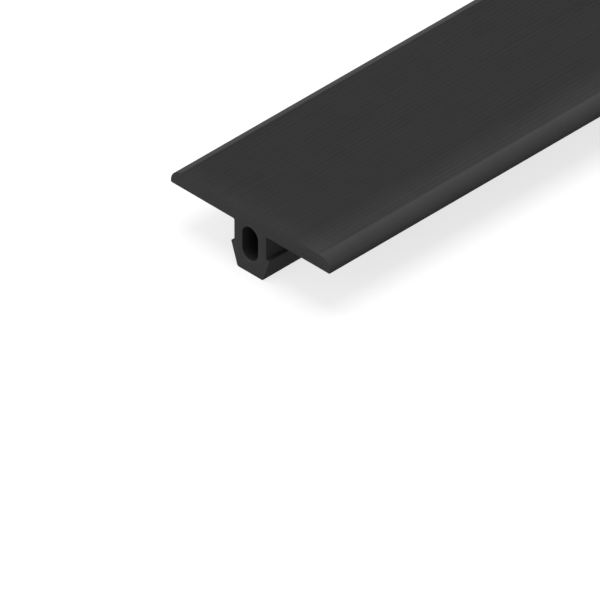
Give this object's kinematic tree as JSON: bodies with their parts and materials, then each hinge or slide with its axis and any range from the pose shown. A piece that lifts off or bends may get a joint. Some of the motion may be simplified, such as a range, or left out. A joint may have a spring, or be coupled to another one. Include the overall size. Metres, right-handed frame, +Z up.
{
  "type": "slot cover profile",
  "caption": "Black rubber strip that closes the slot of an aluminium framing profile: a broad fine-ribbed cap with rounded edges on a hollow barbed stem that presses into the slot.",
  "frame": {"origin": "middle of the strip's length, on the centre line of the stem, in the plane of the cap's underside, which is the framing profile's face when the strip is fitted", "axes": "+Z up, out of the slot and through the cap; +Y along the strip and the slot; +X across the strip"},
  "size_m": [0.04, 0.2, 0.0129],
  "materials": {
    "rubber": "matt black, fine-ribbed on top, with smooth satin edges"
  },
  "bodies": {
    "root": {"cover_profile": "rubber"}
  },
  "joints": []
}
